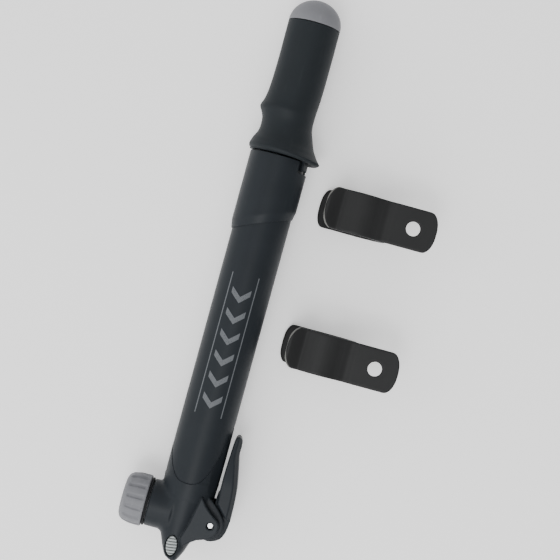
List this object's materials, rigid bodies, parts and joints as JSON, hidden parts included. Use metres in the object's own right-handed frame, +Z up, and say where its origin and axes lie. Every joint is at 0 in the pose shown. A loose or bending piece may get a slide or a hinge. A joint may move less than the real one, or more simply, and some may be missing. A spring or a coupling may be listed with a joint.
{
  "type": "mini pump",
  "caption": "Slim hand-held tyre pump with a lever head, a ribbed valve nut, a pull handle with a domed cap, and spring mounting clips beside it.",
  "frame": {"origin": "middle of the underside of the whole object's box", "axes": "+Y along the pump towards the handle, +Z up, valve socket towards -X, lever and clips on the +X side"},
  "size_m": [0.097, 0.2418, 0.0312],
  "materials": {
    "black_plastic": "satin moulded, slightly bluish",
    "black_matte": "matt moulded",
    "grip_plastic": "fine textured",
    "clip_plastic": "satin moulded",
    "grey_plastic": "satin moulded",
    "pale_rubber": "soft, ribbed",
    "seal_rubber": "smooth",
    "white_plastic": "natural acetal",
    "steel": "turned",
    "aluminium": "drawn"
  },
  "bodies": {
    "barrel": {"barrel_tube": "black_plastic", "lock_collar": "black_plastic", "rod_bush": "white_plastic", "barrel_oring": "seal_rubber", "head_housing": "black_plastic", "inlay_front": "pale_rubber", "inlay_rear": "pale_rubber", "lever_pin": "steel", "check_valve_seat": "white_plastic", "check_valve_spring": "steel"},
    "check_valve": {"check_valve_disc": "seal_rubber"},
    "piston": {"piston": "white_plastic", "piston_seal": "seal_rubber"},
    "handle": {"piston_rod": "aluminium", "piston_screw": "steel", "stop_bumper": "seal_rubber", "handle_core": "black_plastic", "handle_grip": "grip_plastic", "handle_cap": "grey_plastic", "rod_nut": "steel"},
    "lever": {"lever": "black_plastic"},
    "plunger": {"plunger": "white_plastic", "plunger_oring": "seal_rubber", "core_depressor": "steel", "gasket_washer": "white_plastic"},
    "nut_ring": {"nut_ring": "black_matte"},
    "valve_nut": {"valve_nut": "grey_plastic", "valve_gasket": "seal_rubber"},
    "clip_upper": {"clip_upper": "clip_plastic"},
    "clip_lower": {"clip_lower": "clip_plastic"}
  },
  "joints": [
    {"name": "pump_stroke", "type": "slide", "parent": "barrel", "child": "piston", "axis": [0, 1, 0], "range_m": [0, 0.118]},
    {"name": "handle_turn", "type": "hinge", "parent": "piston", "child": "handle", "pos_m": [-0.0224, 0.05405, 0.0156], "axis": [0, 1, 0], "range_deg": [0, 25]},
    {"name": "lever_swing", "type": "hinge", "parent": "barrel", "child": "lever", "pos_m": [-0.0098, -0.10205, 0.0156], "axis": [0, 0, -1], "range_deg": [0, 90]},
    {"name": "plunger_slide", "type": "slide", "parent": "barrel", "child": "plunger", "axis": [-1, 0, 0], "range_m": [0, 0.0011]},
    {"name": "nut_travel", "type": "slide", "parent": "barrel", "child": "nut_ring", "axis": [-1, 0, 0], "range_m": [0, 0.003]},
    {"name": "nut_turn", "type": "hinge", "parent": "nut_ring", "child": "valve_nut", "pos_m": [-0.0424, -0.10035, 0.0156], "axis": [-1, 0, 0], "range_deg": [0, 720]},
    {"name": "check_valve_lift", "type": "slide", "parent": "barrel", "child": "check_valve", "axis": [0, -1, 0], "range_m": [0, 0.0008], "stiffness_N_per_m": 150, "springref_m": -0.0004, "deforming": ["check_valve_spring"]},
    {"name": "clip_upper_push", "type": "slide", "parent": "barrel", "child": "clip_upper", "axis": [-1, 0, 0], "range_m": [0, 0.0175]},
    {"name": "clip_lower_push", "type": "slide", "parent": "barrel", "child": "clip_lower", "axis": [-1, 0, 0], "range_m": [0, 0.0215]}
  ],
  "couplings": [
    {"joint": "plunger_slide", "follows": "lever_swing", "m_per_rad": 0.0007},
    {"joint": "nut_travel", "follows": "nut_turn", "m_per_rad": 0.000238}
  ]
}
